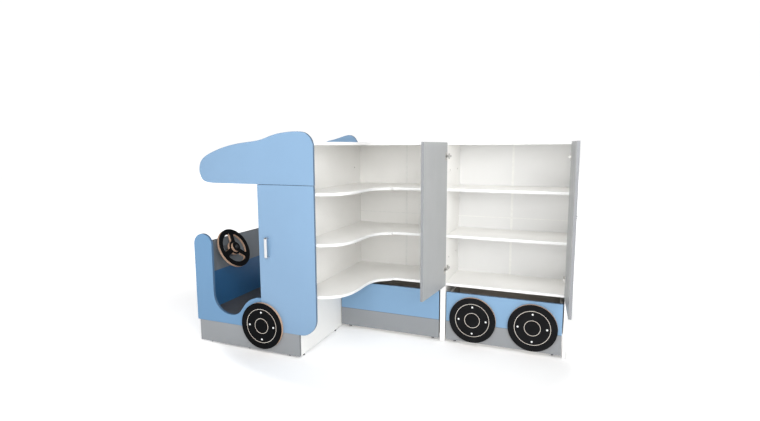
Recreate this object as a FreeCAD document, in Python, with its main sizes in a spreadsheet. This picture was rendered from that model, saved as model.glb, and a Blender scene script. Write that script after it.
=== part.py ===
import FreeCAD, Part
import math
import os
import re

# Truck-shaped storage and play wall: a cab that can be walked into, a corner shelf module and a
# two-door cabinet, with two castor boxes below.  X runs along the truck (nose at -X), -Y is the
# open front, Z is up, millimetres.  All sizes are measured from the face where the cab meets the
# corner module (X), the cabinet front (Y) and the floor (Z); shift_x and shift_y then centre it.

doc = FreeCAD.newDocument("truck_storage_wall")
sheet = doc.addObject("Spreadsheet::Sheet", "dims")

DIMS = [
    ("board", 18, "laminated chipboard thickness"),
    ("hdf", 3, "back panel thickness"),
    ("shift_x", -402.623, "centres the whole in X"),
    ("shift_y", 125.0, "centres the whole in Y"),
    ("module_wide", 795, "width of the corner module"),
    ("cabinet_right", 1606, "right outer face of the cabinet"),
    ("right_reveal", 4, "right grey door, set-back from the outer face"),
    ("module_deep", 387, "depth of the trailer modules"),
    ("total_height", 1400, "height of the carcass"),
    ("cab_long", 812, "length of the cab base"),
    ("cab_front", -588, "front edge of the cab carcass"),
    ("plinth_top", 161, "top of the grey plinth"),
    ("foot_height", 12, "glide height"),
    ("deck_top", 199, "cab floor height"),
    ("dash_split", 471, "joint between blue and grey nose boards"),
    ("dash_top", 700, "top of the grey nose board"),
    ("locker_wide", 288, "locker outside width"),
    ("door_top", 1132, "top of the blue door"),
    ("door_left_edge", -286, "free edge of the blue door"),
    ("wing_edge", 129, "hinge edge of the blue door and right end of the roof side"),
    ("door_corner_r", 115, "lower corner radius of the blue door"),
    ("side_left_edge", -832, "front edge of the cab side"),
    ("side_post_wide", 151, "width of the cab side's post"),
    ("side_post_top", 779.5, "top of the cab side's post"),
    ("side_gap_z", 229, "lowest point of the entry cut-out"),
    ("fender_top", 373, "top of the wheel arch"),
    ("side_right_edge", -288.5, "right edge of the cab side"),
    ("roof_bottom", 1133.5, "lower edge of the roof sides"),
    ("bottom_board_top", 431, "top of the lowest shelf board"),
    ("lower_shelf_top", 767, "top of the lower shelf"),
    ("upper_shelf_top", 1087, "top of the upper shelf"),
    ("shelf_recess", 15, "set-back of the cabinet shelves"),
    ("disc_r", 158, "play wheel radius"),
    ("disc_z", 190, "play wheel centre height"),
    ("cab_disc_x", -278, "cab play wheel centre"),
    ("disc_one_x", 1005, "first trailer play wheel centre"),
    ("disc_two_x", 1399, "second trailer play wheel centre"),
    ("ring_outer_r", 114.5, "outer milled ring"),
    ("ring_inner_r", 51, "inner milled ring"),
    ("ring_wide", 2.4, "milled ring width"),
    ("ring_deep", 1.2, "milled ring depth"),
    ("cap_circle_r", 92.5, "circle of the screw caps"),
    ("cap_r", 6.5, "screw cap radius"),
    ("steer_r", 150.5, "steering wheel radius"),
    ("steer_inner_r", 113, "inside of the steering rim"),
    ("steer_plate_r", 53, "steering hub plate"),
    ("steer_spoke", 38, "spoke width"),
    ("steer_y", -303, "steering wheel centre, across the cab"),
    ("steer_base_z", 582, "where the column meets the nose board"),
    ("steer_tilt", 62, "tilt of the column from vertical"),
    ("steer_turn", 106.5, "clocking of the first opening"),
    ("steer_back", 76, "column length behind the wheel"),
    ("steer_pin_r", 8, "column bolt radius"),
    ("run_gap", 0.05, "radial running clearance"),
    ("hinge_edge", 7, "hinge axis to the door's edge"),
    ("hinge_deep", 10, "hinge axis to the door's back face"),
    ("door_gap", 3, "gap between a door and the carcass"),
    ("cup_r", 17.5, "hinge cup bore radius"),
    ("cup_deep", 12.5, "hinge cup bore depth"),
    ("cup_edge", 21.5, "hinge cup centre to the door's edge"),
    ("hinge_pin_r", 0.9, "hinge pin radius"),
    ("leaf_bottom", 412, "lower edge of the grey doors"),
    ("leaf_top", 1398, "upper edge of the grey doors"),
    ("leaf_wide", 401, "width of a grey door"),
    ("leaf_left_open", 96.4, "left grey door, degrees open"),
    ("leaf_right_open", 94, "right grey door, degrees open"),
    ("hinge_low_z", 530, "lower hinges"),
    ("hinge_high_z", 1305, "upper hinges"),
    ("cab_hinge_low_z", 520, "blue door, lower hinge"),
    ("cab_hinge_high_z", 1000, "blue door, upper hinge"),
    ("box_bottom", 25, "lower edge of the box fronts"),
    ("box_split", 159, "joint of the box fronts"),
    ("box_top", 367, "top of the box fronts"),
    ("box_side_top", 345, "top of the box sides"),
    ("box_wall", 16, "box side thickness"),
    ("box_back", 366, "rear of the boxes"),
    ("box_one_left", 5, "left box, left side"),
    ("box_one_right", 768, "left box, right side"),
    ("box_two_left", 820, "right box, left side"),
    ("box_two_right", 1581, "right box, right side"),
    ("castor_r", 20, "castor wheel radius"),
    ("castor_wide", 16, "castor wheel width"),
    ("castor_pin_r", 3, "castor axle radius"),
    ("castor_inset", 55, "castors to the box sides"),
    ("castor_front_y", 50, "front castor axle"),
    ("castor_rear_y", 320, "rear castor axle"),
    ("tray_bottom", 45, "underside of the boxes"),
    ("handle_long", 138, "pull handle length"),
    ("handle_out", 28, "pull handle projection"),
    ("handle_bar", 20, "pull handle bar width"),
    ("handle_x", -218, "pull handle centre"),
    ("handle_z", 724, "pull handle centre height"),
    ("knob_r", 8, "door knob radius"),
    ("knob_out", 9, "door knob projection"),
    ("knob_z", 982, "door knob height"),
    ("knob_inset", 38, "door knob to the free edge"),
]
for i, (alias, value, note) in enumerate(DIMS, 1):
    sheet.set("A%d" % i, alias)
    sheet.set("B%d" % i, str(value))
    sheet.set("C%d" % i, note)
    sheet.setAlias("B%d" % i, alias)
doc.recompute()

Vec = FreeCAD.Vector
NODES = []


def dim(alias):
    return float(sheet.get(alias))


def ex(text):
    return re.sub(r"[a-z_][a-z_0-9]*", lambda m: "dims." + m.group(0), str(text))


def bind(obj, prop, text):
    obj.setExpression(prop, ex(text))


def place(obj, x, y, z, rot=None):
    if rot is not None:
        obj.Placement = FreeCAD.Placement(Vec(0, 0, 0), rot)
    bind(obj, "Placement.Base.x", x)
    bind(obj, "Placement.Base.y", y)
    bind(obj, "Placement.Base.z", z)


def world(obj, x, y, z, rot=None):
    place(obj, "%s + shift_x" % x, "%s + shift_y" % y, z, rot)


def node(obj, name):
    obj.Label = name
    NODES.append((name, obj))
    return obj


def raw_box(name, x, y, z, local=False):
    b = doc.addObject("Part::Box", name)
    bind(b, "Length", "(%s) - (%s)" % (x[1], x[0]))
    bind(b, "Width", "(%s) - (%s)" % (y[1], y[0]))
    bind(b, "Height", "(%s) - (%s)" % (z[1], z[0]))
    (place if local else world)(b, x[0], y[0], z[0])
    return b


def board(name, x, y, z):
    return node(raw_box(name, x, y, z), name)


UP = FreeCAD.Rotation()
TO_Y = FreeCAD.Rotation(Vec(1, 0, 0), -90)     # cylinder axis along +Y
TO_FRONT = FreeCAD.Rotation(Vec(1, 0, 0), 90)  # cylinder axis along -Y
TO_X = FreeCAD.Rotation(Vec(0, 1, 0), 90)      # cylinder axis along +X


def raw_cyl(name, x, y, z, r, h, rot=UP, local=False):
    c = doc.addObject("Part::Cylinder", name)
    bind(c, "Radius", r)
    bind(c, "Height", h)
    (place if local else world)(c, x, y, z, rot)
    return c


def raw_cone(name, x, y, z, r1, r2, h, rot=UP, local=False):
    c = doc.addObject("Part::Cone", name)
    bind(c, "Radius1", r1)
    bind(c, "Radius2", r2)
    bind(c, "Height", h)
    (place if local else world)(c, x, y, z, rot)
    return c


def cut(name, base, tool):
    c = doc.addObject("Part::Cut", name)
    c.Base, c.Tool = base, tool
    return c


def fuse(name, shapes):
    f = doc.addObject("Part::MultiFuse", name)
    f.Shapes = shapes
    return f


def group(name, links):
    g = doc.addObject("Part::Compound", name)
    g.Links = links
    return node(g, name)


def new_body(name):
    return doc.addObject("PartDesign::Body", name)


def sketch_on(body, role, name, curves, lift=0.0):
    s = body.newObject("Sketcher::SketchObject", name)
    for f in body.Origin.OriginFeatures:
        if f.Role == role:
            s.AttachmentSupport = [(f, "")]
    s.MapMode = "FlatFace"
    if lift:
        s.AttachmentOffset = FreeCAD.Placement(Vec(0, 0, lift), FreeCAD.Rotation())
    for c in curves:
        s.addGeometry(c, False)
    return s


def pad(body, name, sketch, length):
    p = body.newObject("PartDesign::Pad", name)
    p.Profile = sketch
    bind(p, "Length", length)
    body.Tip = p
    return p


def pocket(body, name, sketch, length):
    p = body.newObject("PartDesign::Pocket", name)
    p.Profile = sketch
    bind(p, "Length", length)
    body.Tip = p
    return p


def line(a, b):
    return Part.LineSegment(Vec(a[0], a[1], 0), Vec(b[0], b[1], 0))


def arc(a, m, b):
    return Part.Arc(Vec(a[0], a[1], 0), Vec(m[0], m[1], 0), Vec(b[0], b[1], 0))


def ring(x, y, r):
    return Part.Circle(Vec(x, y, 0), Vec(0, 0, 1), r)


def spline(points, start=None, end=None):
    b = Part.BSplineCurve()
    pts = [Vec(p[0], p[1], 0) for p in points]
    if start is None:
        b.interpolate(Points=pts)
    else:
        b.interpolate(Points=pts, InitialTangent=Vec(start[0], start[1], 0),
                      FinalTangent=Vec(end[0], end[1], 0))
    return b


def outline(points):
    return [line(points[i], points[(i + 1) % len(points)]) for i in range(len(points))]


def soften(body, name, radius, want):
    # Rounds the edges of the body's present tip that the test picks.
    tip = body.Tip
    doc.recompute()
    names = ["Edge%d" % (i + 1) for i, e in enumerate(tip.Shape.Edges) if want(e)]
    f = body.newObject("PartDesign::Fillet", name)
    f.Base = (tip, names)
    f.Radius = radius
    body.Tip = f
    doc.recompute()
    if f.Shape.isNull() or not f.Shape.isValid() or "Invalid" in f.State or not names:
        raise RuntimeError("fillet %s failed" % name)
    return f


def at_y(value):
    return lambda e: all(abs(v.Y - value) < 1e-4 for v in e.Vertexes) and \
        abs(e.CenterOfMass.y - value) < 1e-3


# ---------------------------------------------------------------- cab base, deck and nose
group("base_frame", [
    raw_box("base_rail_front", ("-cab_long + board", "-board"), ("cab_front", "cab_front + board"),
            ("foot_height", "deck_top - board")),
    raw_box("base_rail_rear", ("-cab_long + board", "-board"),
            ("module_deep - 2*board", "module_deep - board"), ("foot_height", "deck_top - board")),
    raw_box("base_rail_nose", ("-cab_long", "-cab_long + board"), ("cab_front", "module_deep - board"),
            ("foot_height", "deck_top - board")),
    raw_box("base_rail_middle", ("-cab_long/2 - board", "-cab_long/2"),
            ("cab_front + board", "module_deep - 2*board"), ("foot_height", "deck_top - board")),
])
group("plinth_boards", [
    raw_box("plinth_near", ("-cab_long", "0"), ("cab_front - board", "cab_front"),
            ("foot_height", "plinth_top")),
    raw_box("plinth_far", ("-cab_long", "-board"), ("module_deep - board", "module_deep"),
            ("foot_height", "plinth_top")),
])
board("cab_deck", ("-cab_long", "-board"), ("cab_front", "module_deep - board"),
      ("deck_top - board", "deck_top"))
board("nose_panel_lower", ("-cab_long - board", "-cab_long"), ("cab_front", "module_deep - board"),
      ("plinth_top", "dash_split"))
board("nose_panel_upper", ("-cab_long - board", "-cab_long"), ("cab_front", "module_deep - board"),
      ("dash_split", "dash_top"))


# ---------------------------------------------------------------- shaped cab sides
def side_profile():
    left, bottom, right = dim("side_left_edge"), dim("plinth_top"), dim("side_right_edge")
    inner = left + dim("side_post_wide")
    rr = dim("side_post_wide") / 2
    top = dim("side_post_top")
    low, arch = dim("side_gap_z"), dim("fender_top")
    bend = 138.0
    k = math.sqrt(0.5)
    sweep = spline([(inner + bend, low), (-500, low + 6), (-470, low + 23), (-446, low + 51),
                    (-423, low + 82), (-398, low + 107), (-368, low + 127), (-333, arch - 4),
                    (right - 4, arch)], (1, 0), (1, 0))
    return [
        line((left, bottom), (left, top - rr)),
        arc((left, top - rr), (left + rr, top), (inner, top - rr)),
        line((inner, top - rr), (inner, low + bend)),
        arc((inner, low + bend), (inner + bend * (1 - k), low + bend * (1 - k)), (inner + bend, low)),
        sweep,
        line((right - 4, arch), (right, arch)),
        line((right, arch), (right, bottom)),
        line((right, bottom), (left, bottom)),
    ]


for name, face in (("cab_side_near", "cab_front"), ("cab_side_far", "module_deep")):
    b = new_body(name)
    pad(b, name + "_pad", sketch_on(b, "XZ_Plane", name + "_outline", side_profile()), "board")
    soften(b, name + "_edge", 1.5, at_y(-18.0 if face == "cab_front" else 0.0))
    world(b, "0", face, "0")
    node(b, name)


def roof_profile(right, crest):
    low = dim("roof_bottom")
    nose = [(-597, low), (-658, low + 1.5), (-700, low + 7), (-730, low + 24), (-745, low + 51),
            (-751, low + 85), (-747, low + 116), (-733, low + 147), (-705, low + 173),
            (-670, low + 192.5), (-632, low + 208), (-590, low + 223), (-545, low + 236.5),
            (-490, low + 250), (-430, low + 260.5), (-371, low + 268), (-312, low + 274)]
    pts = nose + crest
    end = crest[-1][1]
    return [
        spline(pts, (-1, 0), (0, -1)),
        line((right, end), (right, low)),
        line((right, low), (-597, low)),
    ]


low = dim("roof_bottom")
wing = dim("wing_edge")
near_crest = [(-271, low + 280), (-234, low + 288.5), (-190, low + 303), (-133, low + 318.5),
              (-77, low + 327), (-22, low + 331.5), (22, low + 332), (53, low + 329),
              (75, low + 322), (99, low + 305), (117, low + 282.5),
              (wing - 1.5, low + 257.5), (wing, low + 231)]
far_end = -dim("board")
far_crest = [(-295, low + 281.5), (-242, low + 294.5), (-198, low + 305.5), (-154, low + 318.5),
             (-110, low + 329.5), (-85, low + 331.5), (-59, low + 322.5), (-38, low + 303.5),
             (far_end - 3.5, low + 277.5), (far_end, low + 250.5)]
b = new_body("roof_side_near")
pad(b, "roof_near_pad", sketch_on(b, "XZ_Plane", "roof_near_outline",
                                  roof_profile(wing, near_crest)), "board")
soften(b, "roof_near_edge", 1.5, at_y(-18.0))
world(b, "0", "cab_front", "0")
node(b, "roof_side_near")

b = new_body("roof_side_far")
pad(b, "roof_far_pad", sketch_on(b, "XZ_Plane", "roof_far_outline",
                                 roof_profile(far_end, far_crest)), "board")
soften(b, "roof_far_edge", 1.5, at_y(0.0))
world(b, "0", "module_deep", "0")
node(b, "roof_side_far")

board("canopy_board", ("-700", "-locker_wide"), ("cab_front", "module_deep - board"),
      ("roof_bottom + 26", "roof_bottom + 26 + board"))

# ---------------------------------------------------------------- locker behind the blue door
board("locker_side", ("-locker_wide", "-locker_wide + board"), ("cab_front", "module_deep - board"),
      ("deck_top", "total_height - board"))
board("module_wall", ("-board", "0"), ("cab_front", "module_deep"),
      ("foot_height", "total_height"))
board("locker_top", ("-locker_wide", "-board"), ("cab_front", "module_deep - board"),
      ("total_height - board", "total_height"))
board("locker_shelf", ("-locker_wide + board", "-board"), ("cab_front + 25", "module_deep - board"),
      ("upper_shelf_top - board", "upper_shelf_top"))
board("locker_back_panel", ("side_right_edge + 2.5", "-board"), ("module_deep - board", "module_deep"),
      ("plinth_top", "door_top"))
group("hinge_post", [
    raw_box("post_%d" % i, ("wing_edge - 33 - board", "wing_edge - 33"), ("cab_front", "cab_front + 45"),
            (lo, hi))
    for i, (lo, hi) in enumerate((("bottom_board_top", "lower_shelf_top - board"),
                                  ("lower_shelf_top", "upper_shelf_top - board"),
                                  ("upper_shelf_top", "total_height - board")))])


# ---------------------------------------------------------------- doors
def mirrored(points, s):
    return [(s * x, z) for x, z in points]


def hinge_pockets(b, name, s, zs, deep_from):
    # Cup bores with a short relief to the edge, in the door's back face, in the door's own frame.
    cx = dim("cup_edge") - dim("hinge_edge")
    curves = []
    r, h = dim("cup_r"), 8.0
    xl = -4.2
    for z in zs:
        xa = cx - math.sqrt(r * r - h * h)
        a, c = (s * xa, z + h), (s * xa, z - h)
        curves += [line((s * xl, z + h), a), arc(a, (s * (cx + r), z), c),
                   line(c, (s * xl, z - h)), line((s * xl, z - h), (s * xl, z + h))]
    # XZ sketches face -Y, so a sketch on the back face is lifted by minus its Y
    s1 = sketch_on(b, "XZ_Plane", name + "_cups", curves, lift=-dim("hinge_deep"))
    p = pocket(b, name + "_cup_bores", s1, "cup_deep")
    p.Reversed = True
    return p


def leaf(name, s, zs, angle, x, y):
    # A flat door built about its own hinge axis: x from the hinge edge, back face at +hinge_deep.
    e, w = dim("hinge_edge"), dim("leaf_wide")
    z0, z1 = dim("leaf_bottom"), dim("leaf_top")
    b = new_body(name)
    pts = mirrored([(-e, z0), (w - e, z0), (w - e, z1), (-e, z1)], s)
    sk = sketch_on(b, "XZ_Plane", name + "_outline", outline(pts), lift=-dim("hinge_deep"))
    pad(b, name + "_pad", sk, "board")
    soften(b, name + "_edge", 1.0, at_y(dim("hinge_deep") - dim("board")))
    hinge_pockets(b, name, s, zs, 0)
    b.Placement = FreeCAD.Placement(Vec(0, 0, 0), FreeCAD.Rotation(Vec(0, 0, 1), 0))
    world(b, x, y, "0")
    bind(b, "Placement.Rotation.Angle", angle)
    b.Placement.Rotation.Axis = Vec(0, 0, 1)
    return node(b, name)


def cup_metal(prefix, s, zname):
    # Two lugs in the cup bore, a flange and the pin, in the door's own frame.
    cup = raw_cyl(prefix + "_cup", "%d*(cup_edge - hinge_edge)" % s, "hinge_deep - cup_deep + 0.1",
                  zname, "cup_r - 0.1", "cup_deep - 0.1", TO_Y, local=True)
    if s > 0:
        fx, sx = ("-2", "30"), ("-6", "26")
    else:
        fx, sx = ("-30", "2"), ("-26", "6")
    flange = raw_box(prefix + "_flange", fx, ("hinge_deep", "hinge_deep + 1.2"),
                     (zname + " - 27", zname + " + 27"), local=True)
    slot = raw_box(prefix + "_slot", sx, ("-20", "20"), (zname + " - 7.5", zname + " + 7.5"),
                   local=True)
    slot2 = raw_box(prefix + "_slot_far", ("10", "40") if s > 0 else ("-40", "-10"), ("-20", "hinge_deep"),
                    (zname + " - 7.5", zname + " + 7.5"), local=True)
    pin = raw_cyl(prefix + "_pin", "0", "0", zname + " - 9.2", "hinge_pin_r", "18.4", UP, local=True)
    body = cut(prefix + "_lugs", fuse(prefix + "_cup_flange", [cup, flange]),
               fuse(prefix + "_slots", [slot, slot2]))
    return fuse(prefix + "_set", [body, pin])


def cups(name, s, znames, x, y, angle):
    g = group(name, [cup_metal("%s_%d" % (name, i), s, z) for i, z in enumerate(znames)])
    g.Placement = FreeCAD.Placement(Vec(0, 0, 0), FreeCAD.Rotation(Vec(0, 0, 1), 0))
    world(g, x, y, "0")
    if angle:
        bind(g, "Placement.Rotation.Angle", angle)
        g.Placement.Rotation.Axis = Vec(0, 0, 1)
    return g


def arm_metal(prefix, s, x, y, zname, reach, off="9.5", tip="12.8", base="34"):
    # Fixed arm: knuckle round the pin, a leg, the long channel and a plate on the carcass wall.
    kn = raw_cyl(prefix + "_knuckle", x, y, zname + " - 6.8", "hinge_pin_r + 1", "13.6")

    def xs(a, b):
        return ("%s + %s" % (x, a), "%s + %s" % (x, b)) if s > 0 else \
            ("%s - %s" % (x, b), "%s - %s" % (x, a))

    leg = raw_box(prefix + "_leg", xs("0", "15"), (y + " - 1", y + " + 1"),
                  (zname + " - 6.8", zname + " + 6.8"))
    arm = raw_box(prefix + "_channel", xs("12.5", "23"), (y + " - 1", y + " + " + reach),
                  (zname + " - 6.8", zname + " + 6.8"))
    plate = raw_box(prefix + "_plate", xs(off, tip), (y + " + " + reach + " - " + base, y + " + " + reach + " - 2"),
                    (zname + " - 18", zname + " + 18"))
    bore = raw_cyl(prefix + "_bore", x, y, zname + " - 8", "hinge_pin_r + run_gap", "16")
    return cut(prefix + "_arm", fuse(prefix + "_blank", [kn, leg, arm, plate]), bore)


LEFT_X, LEFT_Y = "module_wide + 1.5 + hinge_edge", "-door_gap - hinge_deep"
RIGHT_X, RIGHT_Y = "cabinet_right - right_reveal - hinge_edge", "-door_gap - hinge_deep"
RIGHT_OFF = "(board - hinge_edge - right_reveal)"
CAB_X, CAB_Y = "wing_edge - hinge_edge", "cab_front - door_gap - hinge_deep"
ZS = [dim("hinge_low_z"), dim("hinge_high_z")]
leaf("door_left", 1, ZS, "-leaf_left_open", LEFT_X, LEFT_Y)
leaf("door_right", -1, ZS, "leaf_right_open", RIGHT_X, RIGHT_Y)
cups("hinge_cups_left", 1, ["hinge_low_z", "hinge_high_z"], LEFT_X, LEFT_Y, "-leaf_left_open")
cups("hinge_cups_right", -1, ["hinge_low_z", "hinge_high_z"], RIGHT_X, RIGHT_Y, "leaf_right_open")
cups("hinge_cups_cab", -1, ["cab_hinge_low_z", "cab_hinge_high_z"], CAB_X, CAB_Y, None)
group("hinge_arms", [
    arm_metal("arm_left_low", 1, LEFT_X, LEFT_Y, "hinge_low_z", "72"),
    arm_metal("arm_left_high", 1, LEFT_X, LEFT_Y, "hinge_high_z", "72"),
    arm_metal("arm_right_low", -1, RIGHT_X, RIGHT_Y, "hinge_low_z", "72", RIGHT_OFF),
    arm_metal("arm_right_high", -1, RIGHT_X, RIGHT_Y, "hinge_high_z", "72", RIGHT_OFF),
    arm_metal("arm_cab_low", -1, CAB_X, CAB_Y, "cab_hinge_low_z", "44", "22.7", "26", "29"),
    arm_metal("arm_cab_high", -1, CAB_X, CAB_Y, "cab_hinge_high_z", "44", "22.7", "26", "29"),
])

# blue door, built about its hinge axis
b = new_body("cab_door")
hx = dim("wing_edge") - dim("hinge_edge")
x0, x1 = dim("door_left_edge") - hx, dim("hinge_edge")
z0, z1, r = dim("plinth_top"), dim("door_top"), dim("door_corner_r")
k = r * (1 - math.sqrt(0.5))
prof = [line((x0, z0), (x0, z1)), line((x0, z1), (x1, z1)), line((x1, z1), (x1, z0 + r)),
        arc((x1, z0 + r), (x1 - k, z0 + k), (x1 - r, z0)), line((x1 - r, z0), (x0, z0))]
pad(b, "cab_door_pad", sketch_on(b, "XZ_Plane", "cab_door_outline", prof, lift=-dim("hinge_deep")),
    "board")
soften(b, "cab_door_edge", 1.5, at_y(dim("hinge_deep") - dim("board")))
hinge_pockets(b, "cab_door", -1, [dim("cab_hinge_low_z"), dim("cab_hinge_high_z")], 0)
world(b, CAB_X, CAB_Y, "0")
node(b, "cab_door")

# pull handle
b = new_body("cab_handle")
L, o, t = dim("handle_long") / 2, dim("handle_out"), 9.0
pts_out = [(0, -L), (-o + 10, -L)]
curves = [line((0, -L), (-o + 12, -L)),
          arc((-o + 12, -L), (-o + 12 - 12 * math.sqrt(0.5), -L + 12 - 12 * math.sqrt(0.5)), (-o, -L + 12)),
          line((-o, -L + 12), (-o, L - 12)),
          arc((-o, L - 12), (-o + 12 - 12 * math.sqrt(0.5), L - 12 + 12 * math.sqrt(0.5)), (-o + 12, L)),
          line((-o + 12, L), (0, L)), line((0, L), (0, L - t)), line((0, L - t), (-o + 13, L - t)),
          arc((-o + 13, L - t), (-o + t + 4 - 4 * math.sqrt(0.5), L - t - 4 + 4 * math.sqrt(0.5)), (-o + t, L - 13)),
          line((-o + t, L - 13), (-o + t, -L + 13)),
          arc((-o + t, -L + 13), (-o + t + 4 - 4 * math.sqrt(0.5), -L + t + 4 - 4 * math.sqrt(0.5)), (-o + 13, -L + t)),
          line((-o + 13, -L + t), (0, -L + t)), line((0, -L + t), (0, -L))]
pad(b, "cab_handle_pad", sketch_on(b, "YZ_Plane", "cab_handle_outline", curves), "handle_bar")
soften(b, "cab_handle_edge", 1.5, lambda e: all(abs(v.X) < 1e-4 for v in e.Vertexes) or
       all(abs(v.X - dim("handle_bar")) < 1e-4 for v in e.Vertexes))
world(b, "handle_x - handle_bar/2", "cab_front - door_gap - board", "handle_z")
node(b, "cab_handle")

# small turned knobs on the grey doors, in the door's own frame
for name, s, x, y, angle in (("knob_left", 1, LEFT_X, LEFT_Y, "-leaf_left_open"),
                             ("knob_right", -1, RIGHT_X, RIGHT_Y, "leaf_right_open")):
    px = "%d*(leaf_wide - hinge_edge - knob_inset)" % s
    stem = raw_cyl(name + "_stem", px, "hinge_deep - board", "knob_z", "knob_r - 4", "knob_out - 6",
                   TO_FRONT, local=True)
    head = raw_cone(name + "_head", px, "hinge_deep - board - knob_out + 6", "knob_z", "knob_r",
                    "knob_r - 1.5", "6", TO_FRONT, local=True)
    f = fuse(name, [stem, head])
    f.Placement = FreeCAD.Placement(Vec(0, 0, 0), FreeCAD.Rotation(Vec(0, 0, 1), 0))
    world(f, x, y, "0")
    bind(f, "Placement.Rotation.Angle", angle)
    f.Placement.Rotation.Axis = Vec(0, 0, 1)
    node(f, name)


# ---------------------------------------------------------------- play wheels
def disc(name, x, y):
    b = new_body(name)
    pad(b, name + "_pad", sketch_on(b, "XZ_Plane", name + "_outline", [ring(0, 0, dim("disc_r"))]),
        "board")
    w = dim("ring_wide") / 2
    rings = [ring(0, 0, dim("ring_outer_r") + w), ring(0, 0, dim("ring_outer_r") - w),
             ring(0, 0, dim("ring_inner_r") + w), ring(0, 0, dim("ring_inner_r") - w)]
    pocket(b, name + "_rings", sketch_on(b, "XZ_Plane", name + "_ring_lines", rings,
                                         lift=dim("board")), "ring_deep")
    world(b, x, y, "disc_z")
    return b


def caps(name, x, y):
    out = []
    for i, (dx, dz) in enumerate(((1, 0), (0, 1), (-1, 0), (0, -1))):
        out.append(raw_cone("%s_%d" % (name, i), "%s + %d*cap_circle_r" % (x, dx), y,
                            "disc_z + %d*cap_circle_r" % dz, "cap_r", "cap_r - 1.5", "2", TO_FRONT))
    return out


CAB_FACE = "cab_front - door_gap - board"
node(disc("cab_wheel", "cab_disc_x", CAB_FACE), "cab_wheel")
group("cab_wheel_caps", caps("cab_cap", "cab_disc_x", CAB_FACE + " - board"))
group("trailer_wheels", [disc("trailer_disc_one", "disc_one_x", "0"),
                         disc("trailer_disc_two", "disc_two_x", "0")])
group("trailer_wheel_caps", caps("cap_one", "disc_one_x", "-board") +
      caps("cap_two", "disc_two_x", "-board"))

# ---------------------------------------------------------------- steering wheel
STEER = FreeCAD.Rotation(Vec(0, 1, 0), dim("steer_tilt"))
b = new_body("steering_bracket")
tilt = math.radians(dim("steer_tilt"))
nx, nz = math.sin(tilt), math.cos(tilt)
bx, bz = -dim("cab_long"), dim("steer_base_z")
fx, fz = bx + 30 * nx, bz + 30 * nz
half = 44.0
up_pt = (fx - half * nz, fz + half * nx)
low_pt = (fx + half * nz, fz - half * nx)
pts = [(bx, low_pt[1] - 14), low_pt, up_pt, (bx, up_pt[1] + 2)]
pad(b, "steering_bracket_pad", sketch_on(b, "XZ_Plane", "steering_bracket_outline", outline(pts)),
    "70")
world(b, "0", "steer_y + 35", "0")
node(b, "steering_bracket")


def column(obj):
    world(obj, "-cab_long", "steer_y", "steer_base_z", STEER)
    return obj


collar = raw_cyl("column_collar", "0", "0", "30", "22", "steer_back - 30.5", local=True)
bolt = raw_cyl("column_bolt", "0", "0", "30", "steer_pin_r", "steer_back + board*2 - 24", local=True)
head = raw_cone("column_head", "0", "0", "steer_back + board*2 + 0.5", "14", "11", "6", local=True)
bolt_end = raw_cyl("column_bolt_end", "0", "0", "steer_back + board*2 - 10", "steer_pin_r", "12", local=True)
node(column(fuse("steering_shaft", [collar, bolt, bolt_end, head])), "steering_shaft")

b = new_body("steering_wheel")
lift = dim("steer_back")
pad(b, "steering_pad", sketch_on(b, "XY_Plane", "steering_outline",
                                 [ring(0, 0, dim("steer_r")),
                                  ring(0, 0, dim("steer_pin_r") + dim("run_gap"))], lift), "board")
ro, ri, hw = dim("steer_inner_r"), dim("steer_plate_r"), dim("steer_spoke") / 2
turn = math.radians(dim("steer_turn"))


def polar(rad, ang):
    return (rad * math.cos(turn + ang), rad * math.sin(turn + ang))


ao, ai = math.radians(60) - math.asin(hw / ro), math.radians(60) - math.asin(hw / ri)
kid = [arc(polar(ro, -ao), polar(ro, 0), polar(ro, ao)), line(polar(ro, ao), polar(ri, ai)),
       arc(polar(ri, ai), polar(ri, 0), polar(ri, -ai)), line(polar(ri, -ai), polar(ro, -ao))]
pk = pocket(b, "steering_opening", sketch_on(b, "XY_Plane", "steering_opening_outline", kid,
                                             lift + dim("board")), "board")
pp = b.newObject("PartDesign::PolarPattern", "steering_openings")
pp.Originals = [pk]
for f in b.Origin.OriginFeatures:
    if f.Role == "Z_Axis":
        pp.Axis = (f, [""])
pp.Angle = 360
pp.Occurrences = 3
b.Tip = pp


def corner_edge(e):
    if len(e.Vertexes) != 2:
        return False
    a, c = e.Vertexes[0].Point, e.Vertexes[1].Point
    rad = math.hypot(a.x, a.y)
    return abs(a.x - c.x) < 1e-4 and abs(a.y - c.y) < 1e-4 and \
        (abs(rad - ro) < 0.01 or abs(rad - ri) < 0.01)


soften(b, "steering_corners", 9.0, corner_edge)
column(b)
node(b, "steering_wheel")
hub = raw_cyl("hub_disc", "0", "0", "steer_back + board", "37", "board", local=True)
hub_bore = raw_cyl("hub_bore", "0", "0", "steer_back", "steer_pin_r + run_gap", "3*board", local=True)
node(column(cut("steering_hub", hub, hub_bore)), "steering_hub")


# ---------------------------------------------------------------- corner module
def curved_profile():
    y0 = dim("cab_front")
    x1 = dim("wing_edge") + 1.5
    right = dim("module_wide") - dim("board")
    back = dim("module_deep") - dim("hdf")
    bend = [(x1, y0), (197, -563), (246, -527), (277, -479), (295, -415), (303, -311),
            (305, -200), (320, -123), (361, -64), (421, -20), (484, 0)]
    return [line((0, y0), (x1, y0)), spline(bend, (1, 0), (1, 0)), line((484, 0), (right, 0)),
            line((right, 0), (right, back)), line((right, back), (0, back)),
            line((0, back), (0, y0))]


def curved_board(name, top):
    b = new_body(name)
    pad(b, name + "_pad", sketch_on(b, "XY_Plane", name + "_outline", curved_profile()), "board")
    world(b, "0", "0", top + " - board")
    return b


node(curved_board("corner_bottom", "bottom_board_top"), "corner_bottom")


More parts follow.
